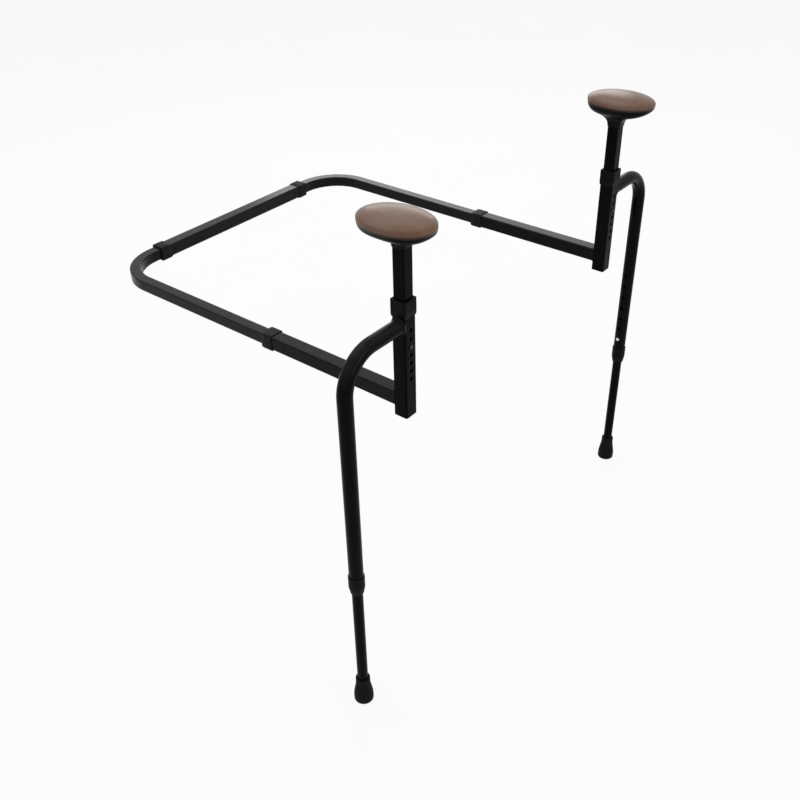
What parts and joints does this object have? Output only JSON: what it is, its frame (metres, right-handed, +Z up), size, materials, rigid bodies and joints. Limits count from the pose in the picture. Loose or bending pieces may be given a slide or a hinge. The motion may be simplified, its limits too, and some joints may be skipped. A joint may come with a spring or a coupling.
{
  "type": "couch standing aid",
  "caption": "Square-tube frame that lies under a couch's cushion, with an oval handle on a post and a telescopic leg at each side, to push up on when standing up.",
  "frame": {"origin": "on the floor, midway between the two sides and midway between the handles' front ends and the tips of the rear tube's snap buttons", "axes": "+X to the right as seen from the front, along the rear tube; +Y backwards, from the handles to the rear tube; +Z up"},
  "size_m": [0.898, 0.7714, 0.87],
  "materials": {
    "frame_steel": "semi-gloss black powder coat",
    "collar_plastic": "matte black",
    "handle_black": "satin black",
    "handle_brown": "glossy taupe brown",
    "foot_rubber": "matte black",
    "bright_steel": "bright"
  },
  "bodies": {
    "rear_frame": {"rear_sleeve": "frame_steel", "rear_collar_left": "collar_plastic", "rear_collar_right": "collar_plastic"},
    "left_corner": {"corner_tube_left": "frame_steel", "width_spring_left": "bright_steel", "depth_spring_left": "bright_steel"},
    "left_side": {"side_sleeve_left": "frame_steel", "side_collar_left": "collar_plastic", "post_left": "frame_steel", "sleeve_weld_left": "frame_steel", "post_plug_left": "collar_plastic", "post_collar_left": "collar_plastic", "leg_tube_left": "frame_steel", "leg_weld_left": "frame_steel", "leg_collar_left": "collar_plastic"},
    "left_handle": {"stem_left": "frame_steel", "handle_spring_left": "bright_steel", "stem_insert_left": "collar_plastic", "handle_screw_left": "bright_steel", "handle_base_left": "handle_black", "handle_pad_left": "handle_brown"},
    "left_leg_extension": {"leg_extension_left": "frame_steel", "leg_spring_left": "bright_steel", "foot_left": "foot_rubber", "foot_washer_left": "bright_steel"},
    "left_width_button": {"width_button_left": "bright_steel"},
    "left_depth_button": {"depth_button_left": "bright_steel"},
    "left_handle_button": {"handle_button_left": "bright_steel"},
    "left_leg_button": {"leg_button_left": "bright_steel"},
    "right_corner": {"corner_tube_right": "frame_steel", "width_spring_right": "bright_steel", "depth_spring_right": "bright_steel"},
    "right_side": {"side_sleeve_right": "frame_steel", "side_collar_right": "collar_plastic", "post_right": "frame_steel", "sleeve_weld_right": "frame_steel", "post_plug_right": "collar_plastic", "post_collar_right": "collar_plastic", "leg_tube_right": "frame_steel", "leg_weld_right": "frame_steel", "leg_collar_right": "collar_plastic"},
    "right_handle": {"stem_right": "frame_steel", "handle_spring_right": "bright_steel", "stem_insert_right": "collar_plastic", "handle_screw_right": "bright_steel", "handle_base_right": "handle_black", "handle_pad_right": "handle_brown"},
    "right_leg_extension": {"leg_extension_right": "frame_steel", "leg_spring_right": "bright_steel", "foot_right": "foot_rubber", "foot_washer_right": "bright_steel"},
    "right_width_button": {"width_button_right": "bright_steel"},
    "right_depth_button": {"depth_button_right": "bright_steel"},
    "right_handle_button": {"handle_button_right": "bright_steel"},
    "right_leg_button": {"leg_button_right": "bright_steel"}
  },
  "joints": [
    {"name": "left_width", "type": "slide", "parent": "rear_frame", "child": "left_corner", "axis": [-1, 0, 0], "range_m": [0, 0.09]},
    {"name": "left_depth", "type": "slide", "parent": "left_corner", "child": "left_side", "axis": [0, 1, 0], "range_m": [0, 0.09]},
    {"name": "left_handle_height", "type": "slide", "parent": "left_side", "child": "left_handle", "axis": [0, 0, 1], "range_m": [-0.055, 0.0275]},
    {"name": "left_leg_length", "type": "slide", "parent": "left_side", "child": "left_leg_extension", "axis": [0, 0, 1], "range_m": [0, 0.15]},
    {"name": "left_width_press", "type": "slide", "parent": "left_corner", "child": "left_width_button", "axis": [0, -1, 0], "range_m": [0, 0.0041], "stiffness_N_per_m": 1500, "springref_m": -0.004, "deforming": ["width_spring_left"]},
    {"name": "left_depth_press", "type": "slide", "parent": "left_corner", "child": "left_depth_button", "axis": [0, 0, 1], "range_m": [0, 0.0041], "stiffness_N_per_m": 1500, "springref_m": -0.004, "deforming": ["depth_spring_left"]},
    {"name": "left_handle_press", "type": "slide", "parent": "left_handle", "child": "left_handle_button", "axis": [0, 1, 0], "range_m": [0, 0.0041], "stiffness_N_per_m": 1500, "springref_m": -0.004, "deforming": ["handle_spring_left"]},
    {"name": "left_leg_press", "type": "slide", "parent": "left_leg_extension", "child": "left_leg_button", "axis": [-1, 0, 0], "range_m": [0, 0.0044], "stiffness_N_per_m": 1500, "springref_m": -0.004, "deforming": ["leg_spring_left"]},
    {"name": "right_width", "type": "slide", "parent": "rear_frame", "child": "right_corner", "axis": [1, 0, 0], "range_m": [0, 0.09]},
    {"name": "right_depth", "type": "slide", "parent": "right_corner", "child": "right_side", "axis": [0, 1, 0], "range_m": [0, 0.09]},
    {"name": "right_handle_height", "type": "slide", "parent": "right_side", "child": "right_handle", "axis": [0, 0, 1], "range_m": [-0.055, 0.0275]},
    {"name": "right_leg_length", "type": "slide", "parent": "right_side", "child": "right_leg_extension", "axis": [0, 0, 1], "range_m": [0, 0.15]},
    {"name": "right_width_press", "type": "slide", "parent": "right_corner", "child": "right_width_button", "axis": [0, -1, 0], "range_m": [0, 0.0041], "stiffness_N_per_m": 1500, "springref_m": -0.004, "deforming": ["width_spring_right"]},
    {"name": "right_depth_press", "type": "slide", "parent": "right_corner", "child": "right_depth_button", "axis": [0, 0, 1], "range_m": [0, 0.0041], "stiffness_N_per_m": 1500, "springref_m": -0.004, "deforming": ["depth_spring_right"]},
    {"name": "right_handle_press", "type": "slide", "parent": "right_handle", "child": "right_handle_button", "axis": [0, 1, 0], "range_m": [0, 0.0041], "stiffness_N_per_m": 1500, "springref_m": -0.004, "deforming": ["handle_spring_right"]},
    {"name": "right_leg_press", "type": "slide", "parent": "right_leg_extension", "child": "right_leg_button", "axis": [1, 0, 0], "range_m": [0, 0.0044], "stiffness_N_per_m": 1500, "springref_m": -0.004, "deforming": ["leg_spring_right"]}
  ]
}
